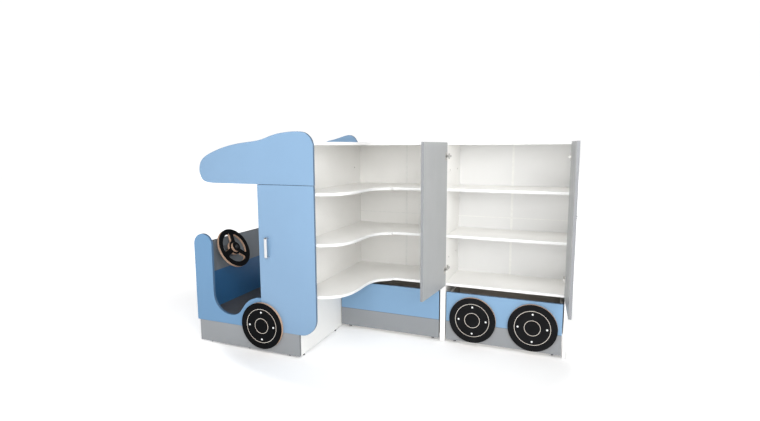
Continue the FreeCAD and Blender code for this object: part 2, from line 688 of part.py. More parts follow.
group("corner_shelves", [curved_board("curved_shelf_low", "lower_shelf_top"),
                         curved_board("curved_shelf_high", "upper_shelf_top")])
top_main = curved_board("corner_top_curve", "total_height")
top_ext = raw_box("corner_top_side", ("module_wide - board", "module_wide"),
                  ("0", "module_deep - hdf"), ("total_height - board", "total_height"))
node(fuse("corner_top", [top_main, top_ext]), "corner_top")
board("corner_side", ("module_wide - board", "module_wide"), ("0", "module_deep - hdf"),
      ("8", "total_height - board"))


def sheets(prefix, x0, x1):
    mid = "(%s + %s)/2" % (x0, x1)
    out = []
    for i, (a, c) in enumerate(((x0, mid + " - 1"), (mid + " + 1", x1))):
        for j, (lo, hi) in enumerate((("30", "852"), ("854", "total_height - 6"))):
            out.append(raw_box("%s_%d%d" % (prefix, i, j), (a, c), ("module_deep - hdf", "module_deep"),
                               (lo, hi)))
    return out


group("corner_back", sheets("corner_sheet", "0.5", "module_wide - 6"))
group("cabinet_back", sheets("cabinet_sheet", "module_wide + 6", "cabinet_right - 6"))


def strip(prefix, mid, lo, hi):
    # Flat joiner profile over the seam between two back sheets, in one bay.
    return raw_box(prefix, (mid + " - 8", mid + " + 8"), ("module_deep - hdf - 1.2", "module_deep - hdf"),
                   (lo, hi))


bays = (("bottom_board_top", "lower_shelf_top - board"), ("lower_shelf_top", "upper_shelf_top - board"),
        ("upper_shelf_top", "total_height - board"))
strips = []
for i, (lo, hi) in enumerate(bays):
    strips.append(strip("corner_strip_%d" % i, "(module_wide - 2)/2", lo + " + 0.5", hi + " - 0.5"))
    strips.append(strip("cabinet_strip_%d" % i, "(module_wide + cabinet_right)/2", lo + " + 0.5", hi + " - 0.5"))
for i, (a, c) in enumerate((("1", "(module_wide - 2)/2 - 8"), ("(module_wide - 2)/2 + 8", "module_wide - board - 1"),
                            ("module_wide + board + 1", "(module_wide + cabinet_right)/2 - 8"),
                            ("(module_wide + cabinet_right)/2 + 8", "cabinet_right - board - 1"))):
    strips.append(raw_box("level_strip_%d" % i, (a, c), ("module_deep - hdf - 1.2", "module_deep - hdf"),
                          ("850", "856")))
group("back_strips", strips)

# ---------------------------------------------------------------- cabinet
board("cabinet_side_left", ("module_wide", "module_wide + board"), ("0", "module_deep - hdf"),
      ("8", "total_height - board"))
board("cabinet_side_right", ("cabinet_right - board", "cabinet_right"), ("0", "module_deep - hdf"),
      ("8", "total_height - board"))
board("cabinet_bottom", ("module_wide + board", "cabinet_right - board"), ("0", "module_deep - hdf"),
      ("bottom_board_top - board", "bottom_board_top"))
board("cabinet_top", ("module_wide", "cabinet_right"), ("0", "module_deep - hdf"),
      ("total_height - board", "total_height"))
group("cabinet_shelves", [
    raw_box("shelf_%d" % i, ("module_wide + board + 0.5", "cabinet_right - board - 0.5"),
            ("shelf_recess", "module_deep - hdf - 1.6"), (t + " - board", t))
    for i, t in enumerate(("lower_shelf_top", "upper_shelf_top"))])


# ---------------------------------------------------------------- roll-out boxes
def rollout(tag, x0, x1):
    board("box_%s_front_lower" % tag, (x0, x1), ("0", "board"), ("box_bottom", "box_split"))
    board("box_%s_front_upper" % tag, (x0, x1), ("0", "board"), ("box_split", "box_top"))
    outer = raw_box("tray_%s_outer" % tag, (x0 + " + 6", x1 + " - 6"), ("board", "box_back"),
                    ("tray_bottom", "box_side_top"))
    inner = raw_box("tray_%s_inner" % tag, (x0 + " + 6 + box_wall", x1 + " - 6 - box_wall"),
                    ("board + box_wall", "box_back - box_wall"),
                    ("tray_bottom + box_wall", "box_side_top + 30"))
    node(cut("box_%s_tray" % tag, outer, inner), "box_%s_tray" % tag)
    forks = []
    for i, x in enumerate((x0 + " + castor_inset", x1 + " - castor_inset")):
        for j, y in enumerate(("castor_front_y", "castor_rear_y")):
            p = "fork_%s_%d%d" % (tag, i, j)
            h = "castor_wide/2 + 1.5"
            parts = [
                raw_box(p + "_plate", (x + " - 20", x + " + 20"), (y + " - 20", y + " + 20"),
                        ("tray_bottom - 2.5", "tray_bottom")),
                raw_box(p + "_cheek_a", (x + " - " + h.replace("+", "-") + " - 2", x + " - " + h.replace("+", "-")),
                        (y + " - 9", y + " + 9"), ("castor_r - 7", "tray_bottom - 1.5")),
                raw_box(p + "_cheek_b", (x + " + " + h, x + " + " + h + " + 2"),
                        (y + " - 9", y + " + 9"), ("castor_r - 7", "tray_bottom - 1.5")),
                raw_cyl(p + "_axle", x + " - 12.5", y, "castor_r", "castor_pin_r", "25", TO_X),
            ]
            forks.append(fuse(p, parts))
    group("castor_forks_%s" % tag, forks)
    for j, (where, y) in enumerate((("front", "castor_front_y"), ("rear", "castor_rear_y"))):
        ws = []
        for i, x in enumerate((x0 + " + castor_inset", x1 + " - castor_inset")):
            p = "roller_%s_%s_%d" % (tag, where, i)
            w = raw_cyl(p + "_tyre", x + " - castor_wide/2", y, "castor_r", "castor_r", "castor_wide", TO_X)
            bore = raw_cyl(p + "_bore", x + " - castor_wide", y, "castor_r", "castor_pin_r + run_gap",
                           "2*castor_wide", TO_X)
            ws.append(cut(p, w, bore))
        group("castors_%s_%s" % (tag, where), ws)


rollout("left", "box_one_left", "box_one_right")
rollout("right", "box_two_left", "box_two_right")

# ---------------------------------------------------------------- glides and small fittings
glides = []
for i, (x, y) in enumerate((("-731", "cab_front + board/2"), ("-413", "cab_front + board/2"),
                            ("-89", "cab_front + board/2"), ("-731", "module_deep - 1.5*board"),
                            ("-413", "module_deep - 1.5*board"), ("-89", "module_deep - 1.5*board"))):
    glides.append(raw_cyl("glide_%d" % i, x, y, "0", "11", "foot_height"))
for i, y in enumerate(("-545", "-90", "340")):
    glides.append(raw_cyl("wall_glide_%d" % i, "-board/2", y, "0", "8", "foot_height"))
for i, (x, y) in enumerate((("module_wide - board/2", "40"), ("module_wide - board/2", "345"),
                            ("module_wide + board/2", "40"), ("module_wide + board/2", "345"),
                            ("cabinet_right - board/2", "40"), ("cabinet_right - board/2", "345"))):
    glides.append(raw_cyl("trailer_glide_%d" % i, x, y, "0", "8", "8"))
group("glides", glides)

small = []
n = 0
for top in ("lower_shelf_top", "upper_shelf_top"):
    for x in ("module_wide + board", "cabinet_right - board - 7"):
        for y in ("50", "330"):
            small.append(raw_cyl("shelf_pin_%d" % n, x, y, top + " - board - 2.5", "2.5", "7", TO_X))
            n += 1
    for x, y in (("0", "-520"), ("0", "-100"), ("0", "330"), ("module_wide - board - 7", "60"),
                 ("module_wide - board - 7", "330")):
        small.append(raw_cyl("shelf_pin_%d" % n, x, y, top + " - board - 2.5", "2.5", "7", TO_X))
        n += 1
n = 0
for y in ("80", "300"):
    for z in ("600", "1210"):
        small.append(raw_cyl("joint_bolt_%d" % n, "module_wide - board - 1.5", y, z, "6", "1.5", TO_X))
        small.append(raw_cyl("joint_nut_%d" % n, "module_wide + board", y, z, "6", "1.5", TO_X))
        n += 1
for y in ("-430", "271"):
    for z in ("600", "1210"):
        small.append(raw_cyl("wall_bolt_%d" % n, "0", y, z, "6", "1.5", TO_X))
        n += 1
group("fittings", small)

# ---------------------------------------------------------------- checks and files
doc.recompute()
os.makedirs("parts", exist_ok=True)
bad = []
for o in doc.Objects:
    if any(w in o.State for w in ("Invalid", "Error")):
        bad.append(o.Name + " " + str(o.State))
for name, o in NODES:
    if o.Shape.isNull() or not o.Shape.isValid() or o.Shape.Volume <= 0:
        bad.append(name + " shape")
if bad:
    raise RuntimeError("; ".join(bad))
lo, hi = Vec(1e9, 1e9, 1e9), Vec(-1e9, -1e9, -1e9)
for name, o in NODES:
    o.Shape.exportStep(os.path.join("parts", name + ".step"))
    bb = o.Shape.BoundBox
    lo = Vec(min(lo.x, bb.XMin), min(lo.y, bb.YMin), min(lo.z, bb.ZMin))
    hi = Vec(max(hi.x, bb.XMax), max(hi.y, bb.YMax), max(hi.z, bb.ZMax))
print("nodes", len(NODES))
print("box", [round(v, 3) for v in lo], [round(v, 3) for v in hi])
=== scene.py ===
import bpy
import bmesh
import math
from mathutils import Vector, Matrix


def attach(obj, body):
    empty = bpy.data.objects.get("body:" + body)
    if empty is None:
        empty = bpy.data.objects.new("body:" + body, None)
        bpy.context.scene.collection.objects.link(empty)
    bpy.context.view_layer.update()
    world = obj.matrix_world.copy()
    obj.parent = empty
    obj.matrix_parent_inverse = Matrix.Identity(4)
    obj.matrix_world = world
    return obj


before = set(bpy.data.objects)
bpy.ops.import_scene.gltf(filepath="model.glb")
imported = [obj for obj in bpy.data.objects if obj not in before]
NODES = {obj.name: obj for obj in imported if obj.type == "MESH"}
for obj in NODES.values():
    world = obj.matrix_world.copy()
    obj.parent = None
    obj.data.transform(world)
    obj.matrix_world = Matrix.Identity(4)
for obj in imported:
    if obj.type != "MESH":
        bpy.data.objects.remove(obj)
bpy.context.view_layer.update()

SX, SY = -0.402623, 0.125      # frame shift of the CAD, metres
WORLD = 0.0


def W(x, y, z):
    """Millimetres from the cab/cabinet datum to frame metres."""
    return Vector((x / 1000 + SX, y / 1000 + SY, z / 1000))


def lin(r, g, b):
    def f(c):
        c = c / 255.0
        return c / 12.92 if c <= 0.04045 else ((c + 0.055) / 1.055) ** 2.4
    return (f(r), f(g), f(b), 1.0)


# ------------------------------------------------------------------ node helpers
class Mat:
    def __init__(self, name):
        self.m = bpy.data.materials.new(name)
        self.m.use_nodes = True
        self.t = self.m.node_tree
        self.t.nodes.clear()
        self.out = self.n("ShaderNodeOutputMaterial")
        self.b = self.n("ShaderNodeBsdfPrincipled")
        self.t.links.new(self.b.outputs["BSDF"], self.out.inputs["Surface"])
        self.tc = self.n("ShaderNodeTexCoord")

    def n(self, kind, **props):
        nd = self.t.nodes.new(kind)
        for k, v in props.items():
            setattr(nd, k, v)
        return nd

    def link(self, a, b):
        self.t.links.new(a, b)

    def val(self, sock, v):
        if hasattr(v, "is_output") and v.is_output:
            self.link(v, sock)
        else:
            sock.default_value = v

    def math(self, op, a, b=None, clamp=False):
        nd = self.n("ShaderNodeMath", operation=op, use_clamp=clamp)
        self.val(nd.inputs[0], a)
        if b is not None:
            self.val(nd.inputs[1], b)
        return nd.outputs[0]

    def obj(self, scale=(1, 1, 1), rot=(0, 0, 0), loc=(0, 0, 0)):
        mp = self.n("ShaderNodeMapping")
        mp.inputs["Scale"].default_value = scale
        mp.inputs["Rotation"].default_value = rot
        mp.inputs["Location"].default_value = loc
        self.link(self.tc.outputs["Object"], mp.inputs["Vector"])
        return mp.outputs[0]

    def noise(self, vec, scale, detail=3.0, rough=0.5):
        nd = self.n("ShaderNodeTexNoise")
        nd.inputs["Scale"].default_value = scale
        nd.inputs["Detail"].default_value = detail
        nd.inputs["Roughness"].default_value = rough
        self.link(vec, nd.inputs["Vector"])
        return nd.outputs["Fac"]

    def ramp(self, fac, lo, hi, a=0.0, b=1.0):
        nd = self.n("ShaderNodeMapRange", interpolation_type="SMOOTHSTEP")
        self.link(fac, nd.inputs[0])
        nd.inputs[1].default_value = lo
        nd.inputs[2].default_value = hi
        nd.inputs[3].default_value = a
        nd.inputs[4].default_value = b
        return nd.outputs[0]

    def mix(self, fac, a, b, kind="MIX"):
        nd = self.n("ShaderNodeMix", data_type="RGBA", blend_type=kind)
        self.val(nd.inputs[0], fac)
        self.val(nd.inputs[6], a)
        self.val(nd.inputs[7], b)
        return nd.outputs[2]

    def bump(self, height, strength, dist, normal=None):
        nd = self.n("ShaderNodeBump")
        nd.inputs["Strength"].default_value = strength
        nd.inputs["Distance"].default_value = dist
        self.link(height, nd.inputs["Height"])
        if normal is not None:
            self.link(normal, nd.inputs["Normal"])
        return nd.outputs[0]

    def dotn(self, vec):
        nd = self.n("ShaderNodeVectorMath", operation="DOT_PRODUCT")
        self.link(self.tc.outputs["Normal"], nd.inputs[0])
        nd.inputs[1].default_value = vec
        return nd.outputs["Value"]

    def dotp(self, vec, origin):
        sub = self.n("ShaderNodeVectorMath", operation="SUBTRACT")
        self.link(self.tc.outputs["Object"], sub.inputs[0])
        sub.inputs[1].default_value = origin
        nd = self.n("ShaderNodeVectorMath", operation="DOT_PRODUCT")
        self.link(sub.outputs[0], nd.inputs[0])
        nd.inputs[1].default_value = vec
        return nd.outputs["Value"]


_cache = {}


def laminate(name, face, edge, normal, rough=0.42, grain=0.0, pearl=1.0, joint_shade_z=None):
    """Melamine-faced board: pearl-textured faces, an edge band on the narrow sides, handling marks."""
    key = (name, tuple(round(c, 4) for c in normal))
    if key in _cache:
        return _cache[key]
    m = Mat("%s_%d" % (name, len(_cache)))
    p = m.obj()
    side = m.math("ABSOLUTE", m.dotn(normal))
    is_edge = m.ramp(side, 0.93, 0.80)
    tone = m.noise(p, 2.2, 4.0, 0.55)
    fine = m.noise(p, 900.0, 2.0, 0.6)
    mottle = m.noise(p, 60.0, 3.0, 0.6)
    c = m.mix(m.ramp(tone, 0.30, 0.72), [x * 0.972 for x in face[:3]] + [1], [min(1, x * 1.018) for x in face[:3]] + [1])
    c = m.mix(m.ramp(mottle, 0.35, 0.7, 0.0, 0.30), c, [x * 0.965 for x in face[:3]] + [1])
    c = m.mix(m.ramp(fine, 0.42, 0.62, 0.0, 0.22), c, [x * 0.94 for x in face[:3]] + [1])
    e = m.mix(m.ramp(m.noise(p, 240.0, 2.0), 0.35, 0.7), [x * 0.95 for x in edge[:3]] + [1], edge)
    c = m.mix(is_edge, c, e)
    if joint_shade_z is not None:
        # painted shade: a dark line where two boards are butted together, standing in for the shadow in their joint
        off = m.math("ABSOLUTE", m.dotp(Vector((0, 0, 1)), (0, 0, joint_shade_z)))
        c = m.mix(m.ramp(off, 0.0017, 0.0008, 0.0, 0.75), c, [x * 0.20 for x in face[:3]] + [1])
    m.link(c, m.b.inputs["Base Color"])
    smear = m.noise(m.obj(scale=(1, 1, 0.35)), 7.0, 5.0, 0.62)
    r = m.ramp(smear, 0.25, 0.75, rough - 0.05, rough + 0.07)
    r = m.math("ADD", r, m.math("MULTIPLY", is_edge, 0.05))
    m.link(r, m.b.inputs["Roughness"])
    m.b.inputs["Specular IOR Level"].default_value = 0.42
    bp = m.bump(fine, 0.10 * pearl, 0.0004)
    wave = m.bump(m.noise(p, 9.0, 2.0), 0.05, 0.002, bp)
    m.link(wave, m.b.inputs["Normal"])
    _cache[key] = m.m
    return m.m


def hardboard(name, col):
    m = Mat(name)
    p = m.obj()
    a = m.noise(p, 3.0, 4.0)
    f = m.noise(m.obj(scale=(1, 1, 0.4)), 420.0, 3.0, 0.65)
    c = m.mix(m.ramp(a, 0.3, 0.7), [x * 0.97 for x in col[:3]] + [1], col)
    c = m.mix(m.ramp(f, 0.4, 0.7, 0.0, 0.25), c, [x * 0.93 for x in col[:3]] + [1])
    m.link(c, m.b.inputs["Base Color"])
    m.link(m.ramp(a, 0.2, 0.8, 0.42, 0.56), m.b.inputs["Roughness"])
    m.link(m.bump(f, 0.12, 0.0004), m.b.inputs["Normal"])
    return m.m


def plywood(name, centre, axis, rings, front=None, half=0.009):
    """Black-faced birch plywood: the face is black, milled lines and the rim show the wood's plies."""
    m = Mat(name)
    p = m.obj()
    axis = Vector(axis).normalized()
    along = m.dotp(axis, centre)
    side = m.math("ABSOLUTE", m.dotn(axis))
    is_edge = m.ramp(side, 0.95, 0.80)
    # plies, across the thickness
    ply = m.math("SINE", m.math("MULTIPLY", along, 2 * math.pi / 0.0028))
    plymask = m.ramp(ply, 0.35, 0.8)
    fibre = m.noise(p, 500.0, 4.0, 0.7)
    tan = m.mix(plymask, lin(218, 188, 164), lin(168, 130, 106))
    tan = m.mix(m.ramp(fibre, 0.35, 0.7, 0.0, 0.5), tan, lin(140, 104, 82))
    # black film face
    film = m.noise(p, 700.0, 2.0, 0.6)
    smudge = m.noise(p, 14.0, 5.0, 0.6)
    black = m.mix(m.ramp(smudge, 0.35, 0.75), (0.0022, 0.0024, 0.0030, 1), (0.0046, 0.0049, 0.0058, 1))
    col = m.mix(is_edge, black, tan)
    if rings:
        sub = m.n("ShaderNodeVectorMath", operation="SUBTRACT")
        m.link(m.tc.outputs["Object"], sub.inputs[0])
        sub.inputs[1].default_value = centre
        crs = m.n("ShaderNodeVectorMath", operation="CROSS_PRODUCT")
        m.link(sub.outputs[0], crs.inputs[0])
        crs.inputs[1].default_value = axis
        ln = m.n("ShaderNodeVectorMath", operation="LENGTH")
        m.link(crs.outputs[0], ln.inputs[0])
        rad = ln.outputs["Value"]
        total = None
        for rr in rings:
            d = m.math("ABSOLUTE", m.math("SUBTRACT", rad, rr))
            k = m.ramp(d, 0.0015, 0.0009)
            total = k if total is None else m.math("MAXIMUM", total, k)
        cream = m.mix(m.ramp(fibre, 0.3, 0.7), lin(252, 250, 245), lin(240, 236, 226))
        col = m.mix(total, col, cream)
    m.link(col, m.b.inputs["Base Color"])
    r = m.ramp(smudge, 0.3, 0.7, 0.40, 0.52)
    m.link(m.math("ADD", r, m.math("MULTIPLY", is_edge, 0.25)), m.b.inputs["Roughness"])
    m.b.inputs["Specular IOR Level"].default_value = 0.045
    bp = m.bump(film, 0.15, 0.0003)
    m.link(m.bump(m.math("MULTIPLY", fibre, is_edge), 0.3, 0.0004, bp), m.b.inputs["Normal"])
    return m.m


def metal(name, col, rough, axis=(1, 1, 12), scale=240.0):
    m = Mat(name)
    f = m.noise(m.obj(scale=axis), scale, 3.0, 0.6)
    a = m.noise(m.obj(), 30.0, 3.0)
    c = m.mix(m.ramp(f, 0.35, 0.68), [x * 0.86 for x in col[:3]] + [1], col)
    c = m.mix(m.ramp(a, 0.5, 0.8, 0.0, 0.25), c, [x * 0.8 for x in col[:3]] + [1])
    m.link(c, m.b.inputs["Base Color"])
    m.b.inputs["Metallic"].default_value = 1.0
    m.link(m.ramp(f, 0.3, 0.7, rough - 0.06, rough + 0.08), m.b.inputs["Roughness"])
    m.link(m.bump(f, 0.08, 0.0002), m.b.inputs["Normal"])
    return m.m


def plastic(name, col, rough, fleck=0.06):
    m = Mat(name)
    a = m.noise(m.obj(), 45.0, 3.0)
    f = m.noise(m.obj(), 1100.0, 2.0)
    c = m.mix(m.ramp(a, 0.3, 0.7), [x * (1 - fleck) for x in col[:3]] + [1], col)
    m.link(c, m.b.inputs["Base Color"])
    m.link(m.ramp(a, 0.3, 0.7, rough - 0.05, rough + 0.06), m.b.inputs["Roughness"])
    m.link(m.bump(f, 0.12, 0.0003), m.b.inputs["Normal"])
    return m.m


def paint(node, mat):
    o = NODES[node]
    if not o.material_slots:
        o.data.materials.append(mat)
    for s in o.material_slots:
        s.material = mat


# ------------------------------------------------------------------ colours
# the blue boards' edge colour is an edge band darkened further as painted shade on their rounded edges
BLUE, BLUE_EDGE_SHADE = lin(122, 153, 183), lin(93, 118, 143)
# painted light: a lighter copy of the blue for the boxes' upper fronts
LIT_BOX_BLUE = lin(123, 158, 190)
# painted shade: a darker, more saturated copy of the blue for the near cab side
SHADED_BLUE, SHADED_BLUE_E = lin(100, 140, 176), lin(78, 108, 138)
# painted shade: a much darker blue for the lower nose panel, standing in for the shade inside the cab
NOSE_SHADED_BLUE, NOSE_SHADED_BLUE_E = lin(47, 101, 148), lin(62, 94, 126)
WHITE, WHITE_E = lin(247, 246, 243), lin(240, 240, 239)
GREY, GREY_E = lin(140, 143, 146), lin(116, 119, 121)
DASH, DASH_E = lin(121, 127, 133), lin(101, 104, 108)
SILVER, SILVER_E = lin(169, 171, 172), lin(134, 136, 139)
DARK, DARK_E = lin(84, 82, 82), lin(64, 64, 66)
TRAY, TRAY_E = lin(234, 231, 225), lin(190, 182, 172)
AX = {"x": (1, 0, 0), "y": (0, 1, 0), "z": (0, 0, 1)}


def turned(deg):
    a = math.radians(deg)
    return (-math.sin(a), math.cos(a), 0.0)


def boards(names, kind, face, edge, axis, rough=0.42):
    for n in names.split():
        paint(n, laminate(kind, face, edge, AX[axis] if isinstance(axis, str) else axis, rough))


boards("module_wall locker_side hinge_post corner_side cabinet_side_left cabinet_side_right", "white",
       WHITE, WHITE_E, "x")
boards("locker_top locker_shelf corner_bottom corner_shelves corner_top cabinet_bottom cabinet_top cabinet_shelves",
       "white", WHITE, WHITE_E, "z")
boards("cab_side_near", "near_side_shaded_blue", SHADED_BLUE, SHADED_BLUE_E, "y")
boards("cab_side_far roof_side_near roof_side_far locker_back_panel cab_door", "blue", BLUE, BLUE_EDGE_SHADE, "y")
boards("nose_panel_lower", "nose_shaded_blue", NOSE_SHADED_BLUE, NOSE_SHADED_BLUE_E, "x")
boards("canopy_board", "blue", BLUE, BLUE_EDGE_SHADE, "z")
boards("plinth_boards", "grey", GREY, GREY_E, "y")
for side in ("left", "right"):
    paint("box_%s_front_upper" % side, laminate("box_lit_blue", LIT_BOX_BLUE, BLUE_EDGE_SHADE, (0, 1, 0), joint_shade_z=0.159))
    paint("box_%s_front_lower" % side, laminate("grey_box", GREY, GREY_E, (0, 1, 0), joint_shade_z=0.159))
boards("nose_panel_upper", "dash_grey", DASH, DASH_E, "x")
boards("base_frame", "grey", GREY, GREY_E, "z")
boards("cab_deck", "dark", DARK, DARK_E, "z")
boards("box_left_tray box_right_tray", "tray", TRAY, TRAY_E, "z")
boards("door_left", "silver", SILVER, SILVER_E, turned(-96.4))
boards("door_right", "silver", SILVER, SILVER_E, turned(94))
paint("corner_back", hardboard("back_sheet", lin(248, 247, 244)))
# painted shade: the cabinet back is a darker copy of the white corner back sheet
paint("cabinet_back", hardboard("cabinet_sheet", lin(236, 236, 235)))
paint("back_strips", plastic("joiner_strip", lin(243, 243, 240), 0.4))
steel = metal("nickel", (0.62, 0.61, 0.59, 1), 0.28)
for n in ("hinge_cups_left", "hinge_cups_right", "hinge_cups_cab", "hinge_arms", "castor_forks_left",
          "castor_forks_right", "fittings"):
    paint(n, steel)
satin = metal("satin_aluminium", (0.72, 0.73, 0.74, 1), 0.34)
for n in ("cab_handle", "knob_left", "knob_right"):
    paint(n, satin)
paint("steering_shaft", plastic("column_black", (0.012, 0.012, 0.013, 1), 0.35))
for n in ("cab_wheel_caps", "trailer_wheel_caps"):
    paint(n, plastic("cap_white", lin(238, 240, 240), 0.4))
for n in ("castors_left_front", "castors_left_rear", "castors_right_front", "castors_right_rear", "glides"):
    paint(n, plastic("rubber_dark", (0.018, 0.018, 0.019, 1), 0.55))
paint("steering_bracket", laminate("dash_grey", DASH, DASH_E, (0, 1, 0)))

RINGS = (0.1145, 0.0510)
paint("cab_wheel", plywood("disc_cab", W(-278, -618, 190), (0, 1, 0), RINGS))


def split_wheels():
    """Two discs share a node: rings are drawn about whichever centre is nearer."""
    m = Mat("disc_trailer")
    p = m.obj()
    side = m.math("ABSOLUTE", m.dotn((0, 1, 0)))
    is_edge = m.ramp(side, 0.95, 0.80)
    sep = m.n("ShaderNodeSeparateXYZ")
    m.link(m.tc.outputs["Object"], sep.inputs[0])
    x, y, z = sep.outputs[0], sep.outputs[1], sep.outputs[2]
    c1, c2 = W(1005, 0, 190), W(1399, 0, 190)
    dx = m.math("MINIMUM", m.math("ABSOLUTE", m.math("SUBTRACT", x, c1.x)),
                m.math("ABSOLUTE", m.math("SUBTRACT", x, c2.x)))
    dz = m.math("SUBTRACT", z, c1.z)
    rad = m.math("SQRT", m.math("ADD", m.math("MULTIPLY", dx, dx), m.math("MULTIPLY", dz, dz)))
    fibre = m.noise(p, 500.0, 4.0, 0.7)
    film = m.noise(p, 700.0, 2.0, 0.6)
    smudge = m.noise(p, 14.0, 5.0, 0.6)
    ply = m.math("SINE", m.math("MULTIPLY", y, 2 * math.pi / 0.0028))
    tan = m.mix(m.ramp(ply, 0.35, 0.8), lin(218, 188, 164), lin(168, 130, 106))
    tan = m.mix(m.ramp(fibre, 0.35, 0.7, 0.0, 0.5), tan, lin(140, 104, 82))
    black = m.mix(m.ramp(smudge, 0.35, 0.75), (0.0045, 0.0048, 0.0056, 1), (0.0085, 0.0088, 0.0100, 1))
    col = m.mix(is_edge, black, tan)
    total = None
    for rr in RINGS:
        d = m.math("ABSOLUTE", m.math("SUBTRACT", rad, rr))
        k = m.ramp(d, 0.0015, 0.0009)
        total = k if total is None else m.math("MAXIMUM", total, k)
    cream = m.mix(m.ramp(fibre, 0.3, 0.7), lin(252, 250, 245), lin(240, 236, 226))
    col = m.mix(total, col, cream)
    m.link(col, m.b.inputs["Base Color"])
    r = m.ramp(smudge, 0.3, 0.7, 0.40, 0.52)
    m.link(m.math("ADD", r, m.math("MULTIPLY", is_edge, 0.25)), m.b.inputs["Roughness"])
    m.b.inputs["Specular IOR Level"].default_value = 0.09
    m.link(m.bump(film, 0.15, 0.0003), m.b.inputs["Normal"])
    return m.m


paint("trailer_wheels", split_wheels())
TILT = math.radians(62.0)
SN = (math.sin(TILT), 0.0, math.cos(TILT))
mid = W(-812, -303, 582) + Vector(SN) * 0.085
paint("steering_wheel", plywood("steer_ply", mid, SN, ()))
paint("steering_hub", plywood("hub_ply", mid + Vector(SN) * 0.018, SN, ()))

# ------------------------------------------------------------------ small hardware
def lathe(bm, at, rows, seg, mats):
    """Closed turned shape about the local Z. Each row is (radius or radius-by-angle function, height)."""
    rings = []
    for rad, h in rows:
        ring = []
        for i in range(seg):
            t = 2 * math.pi * i / seg
            r = rad(t) if callable(rad) else rad
            ring.append(bm.verts.new(at @ Vector((r * math.cos(t), r * math.sin(t), h))))
        rings.append(ring)
    bm.faces.new(rings[0][::-1])
    for k, (a, b) in enumerate(zip(rings, rings[1:])):
        for i in range(seg):
            j = (i + 1) % seg
            f = bm.faces.new((a[i], a[j], b[j], b[i]))
            f.smooth = True
            f.material_index = mats[k]
    top = bm.faces.new(rings[-1])
    top.material_index = mats[-1]


def cross(size):
    def radius(t):
        c, s = abs(math.cos(t)), abs(math.sin(t))

        def arm(p, q):
            return min(size / max(p, 1e-6), 0.32 * size / max(q, 1e-6))
        return max(arm(c, s), arm(s, c))
    return radius


def hexagon(size):
    return lambda t: size / math.cos((t + math.pi / 6) % (math.pi / 3) - math.pi / 6)


def stand(origin, normal, spin=0.0):
    z = Vector(normal).normalized()
    return Matrix.Translation(origin) @ z.to_track_quat("Z", "Y").to_matrix().to_4x4() @ Matrix.Rotation(spin, 4, "Z")


def pan_screw(bm, origin, normal, r=0.0036, h=0.0019, spin=0.35):
    """Domed head with a cross recess."""
    rows = [(r, 0.0), (r, 0.22 * h), (0.95 * r, 0.55 * h), (0.82 * r, 0.82 * h), (0.66 * r, h),
            (cross(0.58 * r), h), (cross(0.50 * r), 0.30 * h), (cross(0.30 * r), 0.22 * h)]
    lathe(bm, stand(origin, normal, spin), rows, 32, [0, 0, 0, 0, 0, 1, 1, 1])


def flat_nut(bm, origin, normal, r=0.0046, h=0.0024, spin=0.2):
    """Hexagon nut with a chamfer and the bolt's end in its bore."""
    rows = [(hexagon(r), 0.0), (hexagon(r), 0.78 * h), (0.98 * r, h), (0.58 * r, h), (0.50 * r, 0.86 * h),
            (0.44 * r, 0.86 * h), (0.40 * r, 1.18 * h)]
    lathe(bm, stand(origin, normal, spin), rows, 24, [0, 0, 0, 1, 1, 0, 0])


def socket_cap(bm, origin, normal):
    """Round cap over the column bolt, with a hexagon socket."""
    rows = [(0.0156, 0.0), (0.0156, 0.0014), (0.0148, 0.0020), (0.0140, 0.0022), (0.0140, 0.0062), (0.0134, 0.0071),
            (0.0122, 0.0076), (hexagon(0.0066), 0.0076), (hexagon(0.0060), 0.0067), (hexagon(0.0030), 0.0066)]
    lathe(bm, stand(origin, normal, 0.3), rows, 48, [0, 0, 0, 0, 0, 0, 0, 1, 1, 1])


# painted shade: near-black for the floors of cross recesses, the hex socket and the gap round each bolt end in a nut
# bore
recess = plastic("recess_painted_shade", (0.02, 0.02, 0.022, 1), 0.6)
zinc = metal("zinc_screws", (0.60, 0.60, 0.60, 1), 0.32, (1, 1, 1), 900.0)
blackened = metal("black_bolt", (0.060, 0.060, 0.064, 1), 0.38, (1, 1, 1), 900.0)


def hardware(name, body, build, mat=None):
    me = bpy.data.meshes.new(name + "_mesh")
    bm = bmesh.new()
    build(bm)
    bmesh.ops.recalc_face_normals(bm, faces=bm.faces)
    bm.to_mesh(me)
    bm.free()
    me.materials.append(mat or zinc)
    me.materials.append(recess)
    o = bpy.data.objects.new(name, me)
    bpy.context.scene.collection.objects.link(o)
    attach(o, body)
    return o


def on_door(ax, ay, deg, z):
    """Places (x, y, z) of a door's own frame, with its hinge axis at ax, ay."""
    c, s = math.cos(math.radians(deg)), math.sin(math.radians(deg))

    def place(x, y, zz):
        return W(ax + c * x - s * y, ay + s * x + c * y, zz)
    return place, Vector((-s, c, 0.0))


def door_screws(ax, ay, deg, side, heights, extra=()):
    place, out = on_door(ax, ay, deg, 0)

    def build(bm):
        for z in heights:
            for dz in (-22.0, 22.0):
                pan_screw(bm, place(side * 14.0, 11.2, z + dz), out, 0.0037, 0.0018, 0.2 + 0.03 * dz)
        for x, z in extra:
            pan_screw(bm, place(x, 10.0, z), out, 0.0034, 0.0013, 0.5 + 0.01 * z)
    return build


hardware("left_door_screws", "grey_door_left", door_screws(803.5, -13, -96.4, 1, (530, 1305), [(356, 982)]))
hardware("right_door_screws", "grey_door_right", door_screws(1595, -13, 94, -1, (530, 1305), [(-356, 982)]))
hardware("blue_door_screws", "blue_door",
         door_screws(122, -601, 0, -1, (520, 1000), [(-340, 660), (-340, 788)]))


